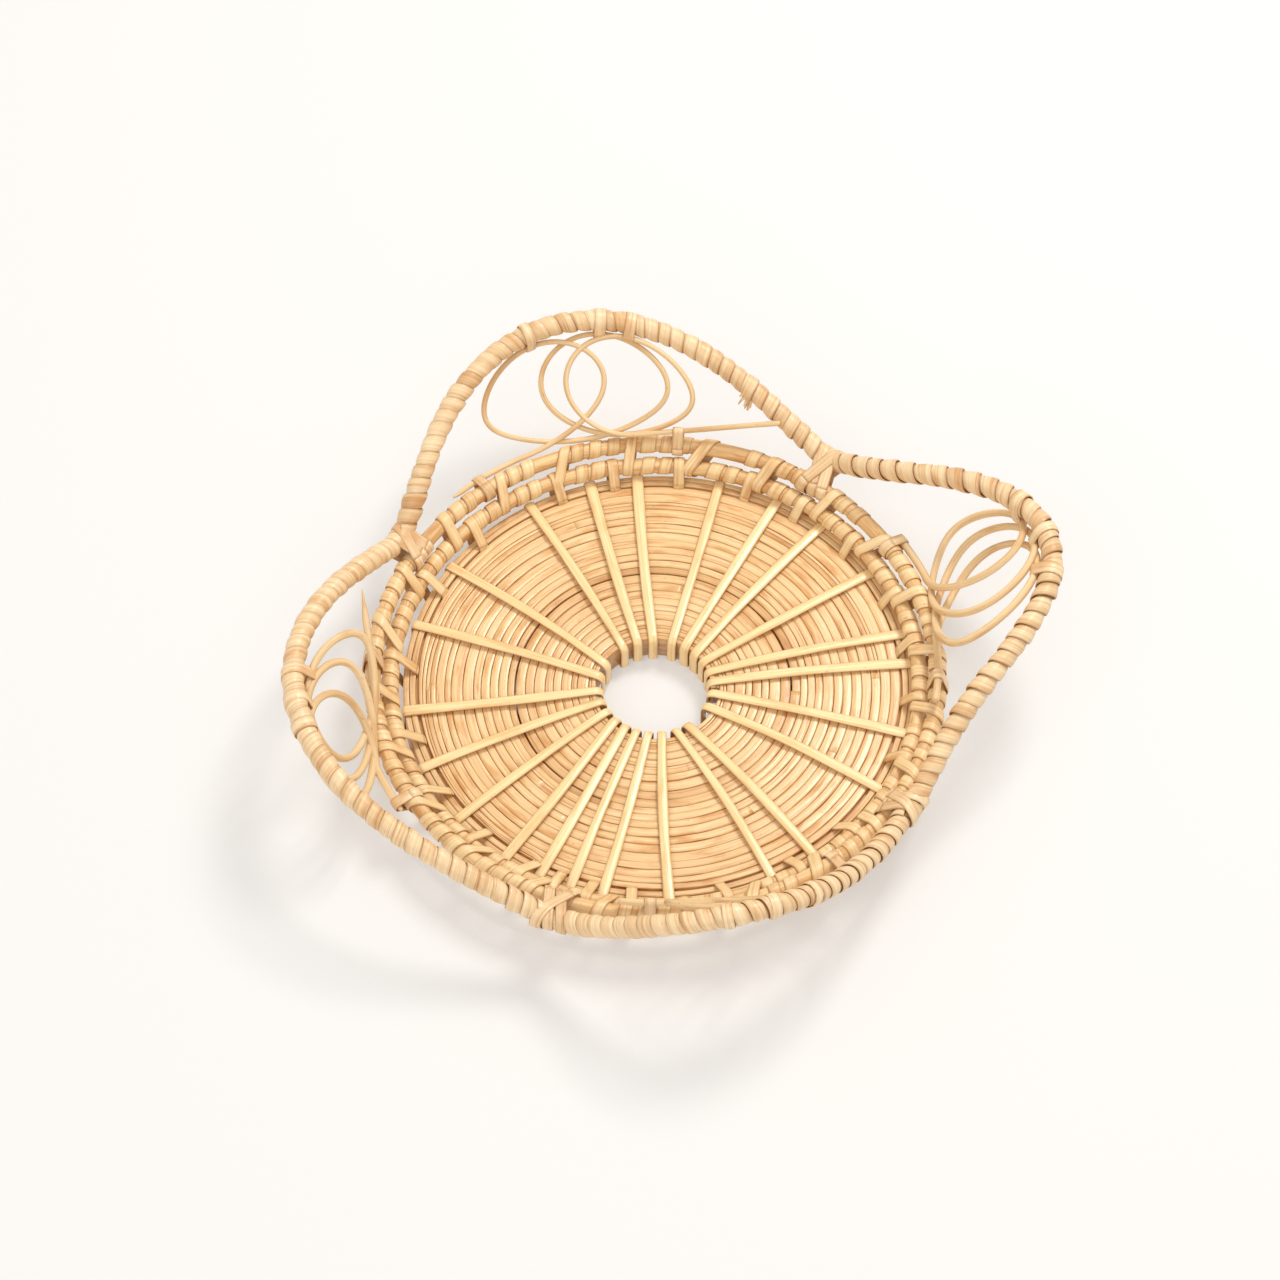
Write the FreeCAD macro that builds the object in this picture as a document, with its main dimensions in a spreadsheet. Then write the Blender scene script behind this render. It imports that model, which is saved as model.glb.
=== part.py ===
import FreeCAD, Part
import math
import os

# Woven rattan basket: a flat coiled base, two raised hoops and a rim of four flared lobes.
# Millimetres, +Z up. The basket stands on z = 0, with the middle of its outline over the
# origin. It is built about the axis of the base, and moved over the origin at the end.
# +X is the basket's right, +Y its back.

DRIVING_SIZES = {
    # flat binding cane
    "cane_width": 2.8,
    "cane_thickness": 0.5,
    "fit_gap": 0.05,
    # coiled base, made of strips standing on edge
    "base_strip_height": 7.5,
    "hole_radius": 13.9,
    "coil_radius": 60.1,
    "strip_gap": 0.12,
    "strip_end_gap": 0.8,
    # the two hoops round the base are not quite centred on it
    "hoop_inner_radius": 60.9,
    "hoop_thickness": 1.3,
    "hoop_shift_x": 0.95,
    "hoop_shift_y": 1.1,
    # round rods
    "ring_core_radius": 1.65,
    "ring_wrap_thickness": 0.6,
    "inner_ring_radius": 66.2,
    "inner_ring_height": 10.75,
    "outer_ring_radius": 70.3,
    "outer_ring_height": 14.4,
    "rim_rod_radius": 2.0,
    "rim_wrap_thickness": 0.65,
    # rim
    "knot_height": 17.5,
    "rod_end_gap": 1.7,
    "wrap_end_gap": 4.4,
    "knot_slack": 0.7,
    "reed_lead": 20.0,
    "reed_gap": 0.12,
    "reed_tie_slack": 0.7,
    # cane turns on the hoops
    "bridge_count": 24,
    "bridge_phase": 5.0,
    "inner_turns_between_bridges": 1,
    "outer_turns_between_bridges": 2,
    "tie_width": 2.0,
    "band_corner": 0.1,
    # how much room a turn needs, in widths of cane
    "room_between_canes": 2.4,
    "room_for_turn": 1.1,
    "room_for_tie": 1.2,
    # where a reed lies against the outer ring, degrees above level
    "reed_foot_lean": 60.0,
    # where a reed's end is tied, as a share of its run along the ring
    "tie_share": 0.6,
}

# Angles are in degrees, measured round the basket from +X towards +Y.
# The knots, where the rim is tied to the outer ring: angle and radius.
KNOTS = {
    "back_left": (149.6, 74.8),
    "back_right": (54.6, 77.2),
    "front_right": (-34.3, 74.8),
    "front_left": (-109.1, 77.2),
}

# Each lobe runs clockwise from one knot to the next. Its tip is given by radius and height.
# How pointed it is in plan and in height are powers of a sine, and lean moves the tip along.
LOBES = {
    "back": ("back_left", "back_right", 94.0, 38.3, 1.9, 1.05, 0.92),
    "right": ("back_right", "front_right", 100.0, 39.0, 3.8, 1.2, 0.90),
    "front": ("front_right", "front_left", 87.0, 39.0, 1.6, 1.8, 1.2),
    "left": ("front_left", "back_left", 90.6, 38.0, 1.75, 1.07, 1.02),
}

# Scrolls: where the middle loop stands (degrees), its half width along the ring, how much
# wider each loop is than the one before, the advance from loop to loop, how much further
# the last loop stands off than the first, how far the loops swing out of line, and the
# radius of the reed.
SCROLLS = {
    "back": (99.0, 14.1, -0.5, 9.9, 4.2, 0.15, 0.72),
    "right": (14.3, 11.6, -2.0, 7.2, 0.0, 0.5, 0.98),
    "front": (-72.0, 12.0, 0.0, 8.0, 0.0, 0.15, 0.85),
    "left": (-164.4, 12.8, -1.55, 6.2, 0.0, 0.4, 1.0),
}

# The first end of each reed: how far it runs on past the loops, and how far it climbs.
FIRST_ENDS = {
    "back": (34.6, 7.4),
    "right": (20.0, 0.0),
    "front": (20.0, 0.0),
    "left": (20.0, 0.0),
}

# The strips of the base, from the hole outwards: thickness, height below full, sextants.
COIL_STRIPS = [
    (1.99, 0.2, 37),
    (2.26, 0.5, 25),
    (1.92, 0.0, 20),
    (2.44, 0.4, 15),
    (2.06, 0.1, 14),
    (2.15, 0.3, 7),
]

# The binding canes, one entry each: angle where it leaves the hole, angle at the edge.
CANE_ANGLES = [
    (169, 163), (153, 145), (125, 120), (109, 105), (92, 94), (72, 75),
    (57, 61), (43.5, 49), (30.5, 32), (17.5, 14), (4.5, 6), (-8.5, -13),
    (-25, -29), (-56, -52), (-69.5, -63), (-83, -87), (-96, -102), (-109, -109.5),
    (-122, -117), (-135, -126), (-148, -141), (-161, -157), (-174, -173),
]

SEXTANT = 60.0
SEXTANTS_PER_TURN = 6
REED_LOOPS = 3
STATIONS_PER_LOOP = 24
LEAD_STATIONS = 5
ANGLE_STEP = 0.25
ANGLE_TRIALS = 60

document = FreeCAD.newDocument("rattan_basket")
sheet = document.addObject("Spreadsheet::Sheet", "sizes")


def fill_sheet():
    for row, (name, value) in enumerate(DRIVING_SIZES.items(), start=1):
        sheet.set("A%d" % row, name)
        sheet.set("B%d" % row, str(value))
        sheet.setAlias("B%d" % row, name)
    document.recompute()


def size(name):
    return float(sheet.get(name))


def bind(thing, **expressions):
    for prop, expression in expressions.items():
        thing.setExpression(prop, expression)


def polar(radius, degrees, height=0.0):
    angle = math.radians(degrees)
    return FreeCAD.Vector(radius * math.cos(angle), radius * math.sin(angle), height)


def add_shape(label, shape):
    """A sub-part whose shape comes from Part's own functions."""
    thing = document.addObject("Part::Feature", label)
    thing.Label = label
    thing.Shape = shape
    thing.Placement = FreeCAD.Placement()
    return thing


def arc_edge(centre, radius, start, end):
    points = [centre + polar(radius, angle) for angle in (start, (start + end) / 2.0, end)]
    return Part.Arc(*points).toShape()


# ---------------------------------------------------------------- base

def coil_arcs():
    """The arcs of each strip, one list per strip: (centre, inner radius, start angle).

    The spiral is built of sextants. Their centres step round a small hexagon, so the radius
    grows evenly and every turn keeps its distance from the one inside it.
    """
    gap = size("strip_gap")
    reach = size("hole_radius")
    previous = COIL_STRIPS[0][0]
    index = 0
    strips = []
    for thickness, _, sextants in COIL_STRIPS:
        growth = (thickness + gap) / SEXTANTS_PER_TURN
        reach += max(0.0, previous - thickness)
        arcs = []
        for _ in range(sextants):
            start = index * SEXTANT
            arcs.append((polar(growth, start + 2.0 * SEXTANT), reach + growth / 2.0, start))
            reach += growth
            index += 1
        previous = thickness
        strips.append(arcs)
    return strips


def coil_strip_face(arcs, thickness, end_gap, tapered):
    """The plan of one strip: its arcs outwards, then back along the outer side."""
    inner = []
    outer = []
    for order, (centre, radius, start) in enumerate(arcs):
        end = start + SEXTANT
        if order == 0:
            start += math.degrees(end_gap / radius)
        if order == len(arcs) - 1:
            end -= math.degrees(end_gap / radius)
        inner.append(arc_edge(centre, radius, start, end))
        if tapered and order >= len(arcs) - SEXTANTS_PER_TURN:
            outer.append(edge_arc(size("coil_radius"), start, end))
        else:
            outer.append(arc_edge(centre, radius + thickness, start, end))
    edges = list(inner)
    edges.append(Part.makeLine(inner[-1].Vertexes[-1].Point, outer[-1].Vertexes[-1].Point))
    for order in range(len(outer) - 1, -1, -1):
        edges.append(outer[order])
        if order > 0:
            here = outer[order].Vertexes[0].Point
            following = outer[order - 1].Vertexes[-1].Point
            if here.distanceToPoint(following) > 1e-6:
                edges.append(Part.makeLine(here, following))
    edges.append(Part.makeLine(outer[0].Vertexes[0].Point, inner[0].Vertexes[0].Point))
    return Part.Face(Part.Wire(Part.__sortEdges__(edges)))


def make_base_coil():
    nodes = []
    for strip, arcs in enumerate(coil_arcs()):
        thickness, drop, _ = COIL_STRIPS[strip]
        last = strip == len(COIL_STRIPS) - 1
        face = coil_strip_face(arcs, thickness, size("strip_end_gap"), last)
        plan = add_shape("coil_plan_%d" % (strip + 1), face)
        label = "base_coil_%d" % (strip + 1)
        strip_node = document.addObject("Part::Extrusion", label)
        strip_node.Label = label
        strip_node.Base = plan
        strip_node.DirMode = "Custom"
        strip_node.Dir = FreeCAD.Vector(0, 0, 1)
        strip_node.Solid = True
        bind(strip_node, LengthFwd="sizes.base_strip_height - %s" % drop)
        bind(strip_node, **{"Placement.Base.z": "sizes.cane_thickness + sizes.fit_gap"})
        nodes.append(strip_node)
    return nodes


def edge_centre():
    return FreeCAD.Vector(size("hoop_shift_x"), size("hoop_shift_y"), 0)


def edge_reach(radius, degrees):
    """Distance from the axis, in one direction, to a circle about the hoops' centre."""
    centre = edge_centre()
    along = centre.dot(polar(1.0, degrees))
    return along + math.sqrt(radius ** 2 - centre.dot(centre) + along ** 2)


def edge_arc(radius, start, end):
    """An arc of a circle about the hoops' centre, between two directions from the axis."""
    angles = (start, (start + end) / 2.0, end)
    return Part.Arc(*[polar(edge_reach(radius, angle), angle) for angle in angles]).toShape()


def make_hoop(label, inner_radius):
    """A plain on-edge hoop closing the rim of the base."""
    outside = document.addObject("Part::Cylinder", label + "_outside")
    inside = document.addObject("Part::Cylinder", label + "_inside")
    bind(outside, Radius=inner_radius + " + sizes.hoop_thickness", Height="sizes.base_strip_height")
    bind(inside, Radius=inner_radius, Height="sizes.base_strip_height")
    for ring in (outside, inside):
        bind(ring, **{"Placement.Base.x": "sizes.hoop_shift_x"})
        bind(ring, **{"Placement.Base.y": "sizes.hoop_shift_y"})
    hoop = document.addObject("Part::Cut", label)
    hoop.Label = label
    hoop.Base = outside
    hoop.Tool = inside
    bind(hoop, **{"Placement.Base.z": "sizes.cane_thickness + sizes.fit_gap"})
    return hoop


def make_binding_cane(number, hole_angle, edge_angle):
    """A flat band of cane wound over the base, down the hole, under and up the edge."""
    label = "binding_cane_%02d" % number
    thick = size("cane_thickness")
    start = polar(size("hole_radius") - 2.0 * thick, hole_angle)
    edge = edge_reach(edge_of_base(), edge_angle) + 3.0 * size("fit_gap")
    stop = polar(edge + thick, edge_angle)
    along = stop - start
    outside = document.addObject("Part::Box", label + "_outside")
    inside = document.addObject("Part::Box", label + "_inside")
    outside.Length = along.Length
    inside.Length = along.Length - 2.0 * thick
    height = "sizes.base_strip_height + 2 * sizes.fit_gap"
    bind(outside, Width="sizes.cane_width", Height=height + " + 2 * sizes.cane_thickness")
    bind(inside, Width="sizes.cane_width", Height=height)
    bind(inside, **{"Placement.Base.x": "sizes.cane_thickness"})
    bind(inside, **{"Placement.Base.z": "sizes.cane_thickness"})
    document.recompute()
    bends = []
    for index, edge in enumerate(outside.Shape.Edges, start=1):
        if abs(edge.tangentAt(edge.FirstParameter).y) > 0.9:
            bends.append((index, thick, thick))
    rounded = document.addObject("Part::Fillet", label + "_rounded")
    rounded.Base = outside
    rounded.Edges = bends
    band = document.addObject("Part::Cut", label)
    band.Label = label
    band.Base = rounded
    band.Tool = inside
    turn = FreeCAD.Rotation(FreeCAD.Vector(0, 0, 1), math.degrees(math.atan2(along.y, along.x)))
    half_width = turn.multVec(FreeCAD.Vector(0, size("cane_width") / 2.0, 0))
    band.Placement = FreeCAD.Placement(start - half_width, turn)
    return band


def edge_of_base():
    return size("hoop_inner_radius") + 2.0 * size("hoop_thickness") + 2.0 * size("fit_gap")


# ---------------------------------------------------------------- bands of cane

def belt(origin, across, up, circles, width, thickness):
    """A band of cane pulled round rods that run along the normal of (across, up).

    circles lists (a, b, radius), counter-clockwise in the plane of across and up.
    """
    normal = across.cross(up)

    def loop(extra):
        places = [FreeCAD.Vector(a, b, 0) for a, b, _ in circles]
        radii = [radius + extra for _, _, radius in circles]
        count = len(circles)
        tangents = []
        for here in range(count):
            step = places[(here + 1) % count] - places[here]
            swing = math.acos((radii[here] - radii[(here + 1) % count]) / step.Length)
            tangents.append(math.degrees(math.atan2(step.y, step.x) - swing))
        edges = []
        for here in range(count):
            start = tangents[here - 1]
            end = tangents[here]
            while end <= start:
                end += 360.0
            edges.append(arc_edge(places[here], radii[here], start, end))
            leaving = edges[-1].Vertexes[-1].Point
            arriving = places[(here + 1) % count] + polar(radii[(here + 1) % count], tangents[here])
            edges.append(Part.makeLine(leaving, arriving))
        return Part.Face(Part.Wire(edges))

    ring = loop(thickness).cut(loop(0.0))
    solid = ring.extrude(FreeCAD.Vector(0, 0, width))
    solid.translate(FreeCAD.Vector(0, 0, -width / 2.0))
    frame = FreeCAD.Matrix(
        across.x, up.x, normal.x, origin.x,
        across.y, up.y, normal.y, origin.y,
        across.z, up.z, normal.z, origin.z,
        0, 0, 0, 1)
    solid.Placement = FreeCAD.Placement(frame).multiply(solid.Placement)
    return solid.Solids[0]


def radial_frame(degrees):
    """Origin on the axis, outward direction and up, for bands round the hoops."""
    return FreeCAD.Vector(), polar(1.0, degrees), FreeCAD.Vector(0, 0, 1)


def ring_section(which, clearance=0.0):
    return (size(which + "_ring_radius"), size(which + "_ring_height"),
            size("ring_core_radius") + clearance)


def single_turn(which, degrees):
    """One turn of cane round a ring core."""
    radius, height, _ = ring_section(which)
    outside = size("ring_core_radius") + size("ring_wrap_thickness")
    width = size("cane_width")
    tangent = polar(1.0, degrees + 90.0)
    start = polar(radius, degrees, height) - tangent * (width / 2.0)
    tube = Part.makeCylinder(outside, width, start, tangent)
    bore = Part.makeCylinder(size("ring_core_radius") + size("fit_gap"), width, start, tangent)
    return tube.cut(bore)


def bridge_angles():
    count = int(size("bridge_count"))
    return [size("bridge_phase") + index * 360.0 / count for index in range(count)]


def turn_angles(which):
    """The single turns share out the space between one bridge and the next."""
    between = int(size(which + "_turns_between_bridges"))
    step = 360.0 / size("bridge_count")
    angles = []
    for bridge in bridge_angles():
        for turn in range(1, between + 1):
            angles.append(bridge + step * turn / (between + 1.0))
    return angles


def ring_bridge(degrees):
    gap = size("fit_gap")
    circles = [ring_section("outer", gap), ring_section("inner", gap)]
    return belt(*radial_frame(degrees), circles, size("cane_width"), size("ring_wrap_thickness"))


def edge_lashing(degrees):
    """A turn that passes behind the hoops of the base and up round the inner ring."""
    gap = size("fit_gap")
    corner = size("band_corner")
    floor = size("cane_thickness") + gap
    top = floor + size("base_strip_height")
    slot = edge_reach(size("hoop_inner_radius"), degrees) - 3.0 * gap
    circles = [
        (slot + corner, top - corner + gap, corner),
        (slot + corner, floor + corner, corner),
        (edge_reach(edge_of_base(), degrees), floor + corner, corner),
        ring_section("inner", gap),
    ]
    return belt(*radial_frame(degrees), circles, size("cane_width"), size("cane_thickness"))


def lashing_angles():
    """Midway between neighbouring binding canes, wherever there is room for a turn."""
    edges = sorted(edge % 360.0 for _, edge in CANE_ANGLES)
    needed = math.degrees(size("room_between_canes") * size("cane_width") / edge_of_base())
    bridges = bridge_angles()
    turns = turn_angles("inner")
    clear = math.degrees(size("room_for_turn") * size("cane_width") / size("inner_ring_radius"))
    found = []
    for here, following in zip(edges, edges[1:] + [edges[0] + 360.0]):
        if following - here < needed:
            continue
        middle = (here + following) / 2.0
        found.append(nearest_free(middle, bridges + turns, clear) % 360.0)
    return found


def nearest_free(angle, taken, clear):
    """The angle closest to the one wanted that stays clear of the turns already there."""
    for step in range(ANGLE_TRIALS):
        for side in (1, -1):
            trial = angle + side * step * ANGLE_STEP
            if all(abs((trial - other + 180.0) % 360.0 - 180.0) >= clear for other in taken):
                return trial
    return angle


# ---------------------------------------------------------------- rim

def lobe_span(name):
    """Start angle of a lobe and its sweep, which is negative because it runs clockwise."""
    first, second = LOBES[name][:2]
    start = KNOTS[first][0]
    return start, (KNOTS[second][0] - start) % -360.0


def lobe_point(name, share):
    """A point on the middle of the rim rod, share running from 0 to 1 along the lobe."""
    first, second, tip_radius, tip_height, plan_power, height_power, lean = LOBES[name]
    start, sweep = lobe_span(name)
    swell = math.sin(math.pi * share ** lean)
    radius = KNOTS[first][1] * (1.0 - share) + KNOTS[second][1] * share
    height = size("knot_height")
    radius += (tip_radius - radius) * swell ** plan_power
    height += (tip_height - height) * swell ** height_power
    return polar(radius, start + sweep * share, height)


def lobe_curve(name, end_gap, stations=25):
    """The middle line of a lobe, stopping short of its knots by a length along the ring."""
    trim = end_gap / math.radians(abs(lobe_span(name)[1])) / KNOTS[LOBES[name][0]][1]
    step = (1.0 - 2.0 * trim) / (stations - 1.0)
    curve = Part.BSplineCurve()
    curve.interpolate([lobe_point(name, trim + step * index) for index in range(stations)])
    return curve


def swept_rod(curve, radius):
    path = Part.Wire(curve.toShape())
    start = curve.value(curve.FirstParameter)
    circle = Part.Circle(start, curve.tangent(curve.FirstParameter)[0], radius)
    return path.makePipeShell([Part.Wire(circle.toShape())], True, True)


def make_rim_rod(name):
    rod = swept_rod(lobe_curve(name, size("rod_end_gap")), size("rim_rod_radius"))
    return add_shape("rim_rod_" + name, rod)


def make_rim_wrap(name):
    """The close cane binding of a lobe: a thin sleeve round its rod."""
    rod = size("rim_rod_radius")
    outside = swept_rod(lobe_curve(name, size("wrap_end_gap")), rod + size("rim_wrap_thickness"))
    bore = swept_rod(lobe_curve(name, size("rod_end_gap")), rod + size("fit_gap"))
    return add_shape("rim_wrap_" + name, outside.cut(bore))


def knot_lashing(name):
    """Two turns of cane round the outer ring and the rim above it."""
    angle, radius = KNOTS[name]
    width = size("cane_width")
    slack = size("knot_slack")
    ring = (size("outer_ring_radius"), size("outer_ring_height"), over_turns())
    over_rim = size("rim_rod_radius") + size("rim_wrap_thickness") + slack
    rim = (radius, size("knot_height") + slack, over_rim)
    _, outward, up = radial_frame(angle)
    turns = []
    for side in (-1, 1):
        origin = polar(side * (width / 2.0 + 2.0 * size("fit_gap")), angle + 90.0)
        turns.append(belt(origin, outward, up, [ring, rim], width, size("cane_thickness")))
    return Part.makeCompound(turns)


def over_turns():
    """Radius of the outer ring over the cane turns on it, with clearance."""
    return size("ring_core_radius") + size("ring_wrap_thickness") + 3.0 * size("fit_gap")


# ---------------------------------------------------------------- scrolls

def reed_radius(name):
    return SCROLLS[name][-1]


def reed_layer(name):
    """The step from one loop to the loop that lies over it."""
    return 2.0 * reed_radius(name) + size("reed_gap")


def loop_advance(name, turn):
    """How far along the ring from the middle of the scroll a loop has moved."""
    advance, bunch = SCROLLS[name][3:5]
    behind = turn - REED_LOOPS / 2.0
    return behind * advance + bunch * behind ** 2


def scroll_foot(name):
    """Where a reed lies against the outer ring: radius and height."""
    standoff = over_turns() + reed_radius(name)
    lean = math.radians(size("reed_foot_lean"))
    return (size("outer_ring_radius") + standoff * math.cos(lean),
            size("outer_ring_height") + standoff * math.sin(lean))


def rim_above(name, along):
    """The step from the scroll's foot to the rim rod over it: outwards and upwards."""
    start, sweep = lobe_span(name)
    foot_radius, foot_height = scroll_foot(name)
    angle = SCROLLS[name][0] + math.degrees(along / foot_radius)
    above = lobe_point(name, ((angle - start) % -360.0) / sweep)
    return math.hypot(above.x, above.y) - foot_radius, above.z - foot_height


def scroll_slope(name):
    """Tilt of the lobe where the scroll stands, in radians."""
    outward, upward = rim_above(name, 0.0)
    return math.atan2(upward, outward)


def scroll_reach(name, along):
    """How far up the slope a reed lies when it just clears the bound rim."""
    bound_rim = size("rim_rod_radius") + size("rim_wrap_thickness")
    return math.hypot(*rim_above(name, along)) - bound_rim - reed_radius(name) - size("reed_gap")


def scroll_place(name, along, lift, proud):
    """A point given along the ring, up the lobe's slope and out of the slope, in mm."""
    foot_radius, foot_height = scroll_foot(name)
    tilt = scroll_slope(name)
    angle = SCROLLS[name][0] + math.degrees(along / foot_radius)
    outward = lift * math.cos(tilt) + proud * math.sin(tilt)
    upward = lift * math.sin(tilt) - proud * math.cos(tilt)
    return polar(foot_radius + outward, angle, foot_height + upward)


def scroll_point(name, turn):
    """A point of the looping reed; each loop lies just over the one before it."""
    _, half_width, widening, advance, bunch, swing, _ = SCROLLS[name]
    angle = 2.0 * math.pi * turn - math.pi / 2.0
    behind = turn - REED_LOOPS / 2.0
    drift = advance + 2.0 * bunch * behind
    sideways = (half_width + widening * behind + drift / 4.0) * math.cos(angle)
    along = loop_advance(name, turn) + sideways
    lift = scroll_reach(name, along) * (1.0 + math.sin(angle)) / 2.0
    return scroll_place(name, along, lift, behind * reed_layer(name) + swing * sideways)


def scroll_end(name, side, away):
    """A point on one end of the reed, at a distance along the ring past the loops."""
    middle = REED_LOOPS / 2.0
    length, climb = FIRST_ENDS[name]
    lift = climb * (away / length) ** 2 if side < 0 else 0.0
    along = loop_advance(name, middle + side * middle) + side * away
    return scroll_place(name, along, lift, side * middle * reed_layer(name))


def scroll_curve(name):
    """The whole reed: a run along the outer ring, the loops, and a run out again."""
    stations = STATIONS_PER_LOOP * REED_LOOPS
    points = []
    for step in range(LEAD_STATIONS, 0, -1):
        points.append(scroll_end(name, -1, FIRST_ENDS[name][0] * step / LEAD_STATIONS))
    for station in range(stations + 1):
        points.append(scroll_point(name, REED_LOOPS * station / float(stations)))
    for step in range(1, LEAD_STATIONS + 1):
        points.append(scroll_end(name, 1, size("reed_lead") * step / LEAD_STATIONS))
    curve = Part.BSplineCurve()
    curve.interpolate(points)
    return curve


def make_scroll(name):
    return add_shape("scroll_" + name, swept_rod(scroll_curve(name), reed_radius(name)))


def rim_tie(name, turn):
    """A turn of cane that holds the top of one loop against the bound rim."""
    top = scroll_point(name, turn)
    rim = lobe_curve(name, size("rod_end_gap"))
    parameter = rim.parameter(top)
    centre = rim.value(parameter)
    tangent = rim.tangent(parameter)[0]
    across = top - centre
    across = across - tangent * across.dot(tangent)
    distance = across.Length
    across.normalize()
    gap = size("fit_gap")
    circles = [
        (0.0, 0.0, size("rim_rod_radius") + size("rim_wrap_thickness") + gap),
        (distance, 0.0, reed_radius(name) + size("reed_tie_slack")),
    ]
    up = tangent.cross(across)
    return belt(centre, across, up, circles, size("tie_width"), size("cane_thickness"))


def ring_tie(name, side):
    """A turn of cane that holds the end of a reed against the outer ring."""
    wanted = scroll_end(name, side, size("tie_share") * size("reed_lead"))
    wanted = math.degrees(math.atan2(wanted.y, wanted.x))
    clear = math.degrees(size("room_for_tie") * size("cane_width") / size("outer_ring_radius"))
    angle = nearest_free(wanted, bridge_angles(), clear)
    end_of_loops = scroll_end(name, side, 0.0)
    turned = angle - math.degrees(math.atan2(end_of_loops.y, end_of_loops.x))
    turned = abs((turned + 180.0) % 360.0 - 180.0)
    reed = scroll_end(name, side, math.radians(turned) * scroll_foot(name)[0])
    gap = size("fit_gap")
    ring = (size("outer_ring_radius"), size("outer_ring_height"), over_turns())
    rod = (math.hypot(reed.x, reed.y), reed.z, reed_radius(name) + gap)
    return belt(*radial_frame(angle), [ring, rod], size("cane_width"), size("cane_thickness"))


def scroll_ties():
    ties = []
    for name in SCROLLS:
        ties += [rim_tie(name, loop + 0.5) for loop in range(REED_LOOPS)]
        ties += [ring_tie(name, side) for side in (-1, 1)]
    return Part.makeCompound(ties)


def stand_over_origin(nodes):
    """Move the whole basket so that the middle of its outline is over the origin."""
    outline = FreeCAD.BoundBox()
    for node in nodes:
        outline.add(node.Shape.BoundBox)
    step = FreeCAD.Vector(-outline.Center.x, -outline.Center.y, 0)
    shift = FreeCAD.Placement(step, FreeCAD.Rotation())
    for node in nodes:
        node.Placement = shift.multiply(node.Placement)
    document.recompute()


def main():
    fill_sheet()
    nodes = make_base_coil()
    inner_hoop = "sizes.hoop_inner_radius"
    nodes.append(make_hoop("edge_hoop_inner", inner_hoop))
    nodes.append(make_hoop("edge_hoop_outer", inner_hoop + " + sizes.hoop_thickness + sizes.fit_gap"))
    for number, (hole_angle, edge_angle) in enumerate(CANE_ANGLES, start=1):
        nodes.append(make_binding_cane(number, hole_angle, edge_angle))
    for which in ("inner", "outer"):
        core = document.addObject("Part::Torus", which + "_ring_core")
        core.Label = which + "_ring_core"
        bind(core, Radius1="sizes.%s_ring_radius" % which, Radius2="sizes.ring_core_radius")
        bind(core, **{"Placement.Base.z": "sizes.%s_ring_height" % which})
        nodes.append(core)
        turns = [single_turn(which, angle) for angle in turn_angles(which)]
        nodes.append(add_shape(which + "_ring_turns", Part.makeCompound(turns)))
    bridges = [ring_bridge(angle) for angle in bridge_angles()]
    nodes.append(add_shape("ring_bridges", Part.makeCompound(bridges)))
    lashings = [edge_lashing(angle) for angle in lashing_angles()]
    nodes.append(add_shape("edge_lashings", Part.makeCompound(lashings)))
    for name in LOBES:
        nodes.append(make_rim_rod(name))
        nodes.append(make_rim_wrap(name))
        nodes.append(make_scroll(name))
    for name in KNOTS:
        nodes.append(add_shape("knot_lashing_" + name, knot_lashing(name)))
    nodes.append(add_shape("scroll_ties", scroll_ties()))
    document.recompute()
    stand_over_origin(nodes)
    for node in document.Objects:
        if "Invalid" in node.State or "Error" in node.State:
            raise RuntimeError("%s did not compute" % node.Label)
    os.makedirs("parts", exist_ok=True)
    for node in nodes:
        if node.Shape.isNull() or not node.Shape.isValid():
            raise RuntimeError("%s has no valid shape" % node.Label)
        node.Shape.exportStep("parts/%s.step" % node.Label)


main()
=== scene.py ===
import math

import bpy
import numpy as np
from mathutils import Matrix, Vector


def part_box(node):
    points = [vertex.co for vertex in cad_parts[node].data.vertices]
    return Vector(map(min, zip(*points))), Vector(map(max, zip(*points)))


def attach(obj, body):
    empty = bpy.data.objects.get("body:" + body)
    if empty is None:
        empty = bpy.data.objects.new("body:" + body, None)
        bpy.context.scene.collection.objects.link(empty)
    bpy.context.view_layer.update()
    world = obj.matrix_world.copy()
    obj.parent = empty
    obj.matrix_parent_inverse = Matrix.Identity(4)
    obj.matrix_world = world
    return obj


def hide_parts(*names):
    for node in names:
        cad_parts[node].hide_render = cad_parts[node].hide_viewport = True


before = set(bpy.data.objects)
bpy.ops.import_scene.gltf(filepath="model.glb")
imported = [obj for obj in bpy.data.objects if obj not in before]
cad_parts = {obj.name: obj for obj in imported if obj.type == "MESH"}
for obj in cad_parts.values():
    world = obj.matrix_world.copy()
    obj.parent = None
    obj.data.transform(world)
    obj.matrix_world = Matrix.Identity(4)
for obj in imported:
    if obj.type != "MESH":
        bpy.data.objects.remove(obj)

# Woven rattan basket: a coiled base bound with flat cane, two raised hoops, and a rim of
# four flared lobes closely wrapped in cane, with a scroll of looping reed inside each lobe.
# Everything is worked out in millimetres about the axis of the base, +Z up, and moved into
# the frame, in metres, when a mesh is made.

MM = 0.001
UP = np.array([0.0, 0.0, 1.0])
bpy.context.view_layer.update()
ring_low, ring_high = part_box("inner_ring_core")
AXIS = np.array([(ring_low.x + ring_high.x) / 2.0, (ring_low.y + ring_high.y) / 2.0, 0.0])

# ---------------------------------------------------------------- sizes, in millimetres

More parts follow.
